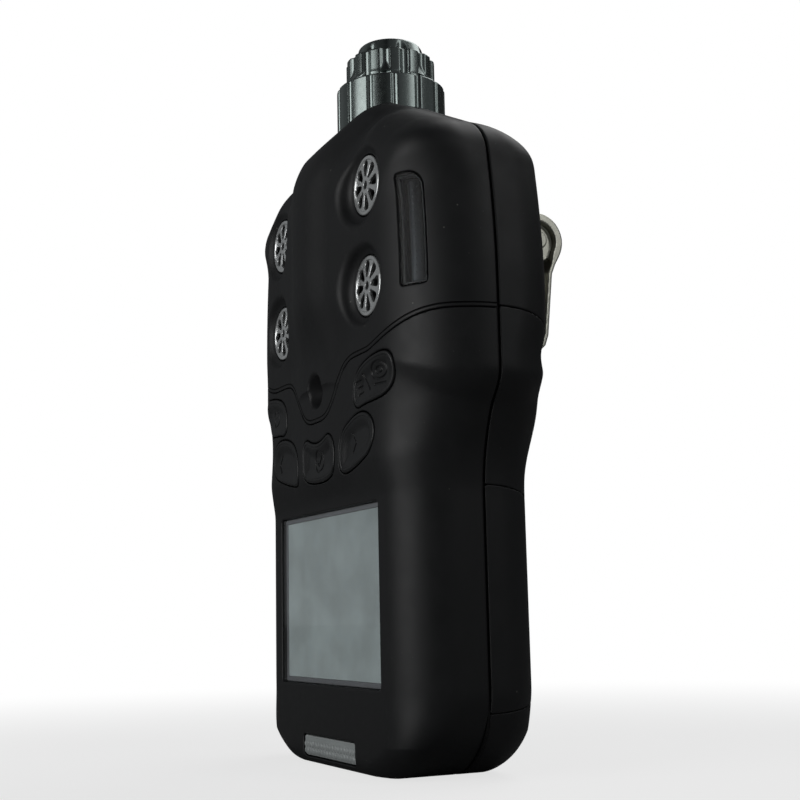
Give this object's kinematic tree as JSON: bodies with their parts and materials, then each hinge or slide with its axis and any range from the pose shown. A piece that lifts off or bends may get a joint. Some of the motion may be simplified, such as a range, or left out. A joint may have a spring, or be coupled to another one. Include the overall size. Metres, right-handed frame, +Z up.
{
  "type": "portable gas detector",
  "caption": "Hand-held gas detector: waisted rubber-covered case, grilled sensor head, display, keypad, torch on top, alarm windows on the shoulders and a sprung belt clip behind.",
  "frame": {"origin": "middle of the base's width and at the base's lowest height, in the parting plane between the front and rear covers", "axes": "X to the right seen from the front, Y from the front (display, keys, grilles) to the back (belt clip), Z up through the torch"},
  "size_m": [0.0948, 0.0573, 0.1591],
  "materials": {
    "case_rubber": "moulded satin rubber over plastic, faint grain",
    "seal_rubber": "soft elastomer",
    "keypad": "moulded silicone key caps, satin",
    "window": "clear flat lens with hard coat",
    "frame_plastic": "matt",
    "lcd": "grey passive display, blank",
    "board": "glass-filled epoxy board",
    "dome_steel": "sprung steel",
    "grille_chrome": "plated, bright",
    "membrane": "porous white membrane",
    "sensor_body": "moulded",
    "smoked": "smoked translucent window",
    "led": "white light-emitting strip",
    "ribbed_lens": "clear ribbed light guide",
    "black_plastic": "matt",
    "mesh_metal": "fine woven mesh",
    "motor_steel": "drawn can",
    "cell": "shrink wrapped",
    "dark_chrome": "dark plated metal, slightly green",
    "torch_metal": "turned",
    "torch_lens": "clear",
    "reflector": "vacuum plated",
    "led_yellow": "phosphor emitter on its board",
    "clip_steel": "pressed stainless sheet",
    "screw_steel": "blackened",
    "contact_gold": "gold plated"
  },
  "bodies": {
    "case": {"front_upper_cover": "case_rubber", "front_lower_cover": "case_rubber", "rear_upper_cover": "case_rubber", "rear_lower_cover": "case_rubber", "battery_cover": "case_rubber", "case_seal": "seal_rubber", "display_window": "window", "display_frame": "frame_plastic", "lcd_panel": "lcd", "keypad_sheet": "keypad", "key_board": "board", "key_domes": "dome_steel", "main_board": "board", "sensor_board": "board", "grille_top_left": "grille_chrome", "grille_top_right": "grille_chrome", "grille_bottom_left": "grille_chrome", "grille_bottom_right": "grille_chrome", "filter_top_left": "membrane", "filter_top_right": "membrane", "filter_bottom_left": "membrane", "filter_bottom_right": "membrane", "gasket_top_left": "seal_rubber", "gasket_top_right": "seal_rubber", "gasket_bottom_left": "seal_rubber", "gasket_bottom_right": "seal_rubber", "sensor_top_left": "sensor_body", "sensor_top_right": "sensor_body", "sensor_bottom_left": "sensor_body", "sensor_bottom_right": "sensor_body", "alarm_window_left": "smoked", "alarm_window_right": "smoked", "alarm_led_left": "led", "alarm_led_right": "led", "status_lens": "ribbed_lens", "status_led": "led", "buzzer": "black_plastic", "buzzer_mesh": "mesh_metal", "vibration_motor": "motor_steel", "battery_pack": "cell", "torch_bezel": "dark_chrome", "torch_lens": "torch_lens", "torch_reflector": "reflector", "torch_led": "led_yellow", "torch_barrel": "torch_metal", "torch_seal": "seal_rubber", "torch_nut": "torch_metal", "clip_base": "clip_steel", "clip_pin": "clip_steel", "clip_spring": "clip_steel", "clip_screws": "screw_steel", "case_screws": "screw_steel", "battery_screws": "screw_steel", "charging_contacts": "contact_gold"},
    "key_power": {"key_power": "keypad"},
    "key_torch": {"key_torch": "keypad"},
    "key_left": {"key_left": "keypad"},
    "key_ok": {"key_ok": "keypad"},
    "key_right": {"key_right": "keypad"},
    "clip_lever": {"clip_lever": "clip_steel"}
  },
  "joints": [
    {"name": "key_power_press", "type": "slide", "parent": "case", "child": "key_power", "axis": [0, 1, 0], "range_m": [0, 0.0008], "stiffness_N_per_m": 400},
    {"name": "key_torch_press", "type": "slide", "parent": "case", "child": "key_torch", "axis": [0, 1, 0], "range_m": [0, 0.0008], "stiffness_N_per_m": 400},
    {"name": "key_left_press", "type": "slide", "parent": "case", "child": "key_left", "axis": [0, 1, 0], "range_m": [0, 0.0008], "stiffness_N_per_m": 400},
    {"name": "key_ok_press", "type": "slide", "parent": "case", "child": "key_ok", "axis": [0, 1, 0], "range_m": [0, 0.0008], "stiffness_N_per_m": 400},
    {"name": "key_right_press", "type": "slide", "parent": "case", "child": "key_right", "axis": [0, 1, 0], "range_m": [0, 0.0008], "stiffness_N_per_m": 400},
    {"name": "clip_hinge", "type": "hinge", "parent": "case", "child": "clip_lever", "pos_m": [0, 0.0304, 0.1134], "axis": [1, 0, 0], "range_deg": [0, 20], "stiffness_Nm_per_rad": 0.25, "deforming": ["clip_spring"]}
  ]
}
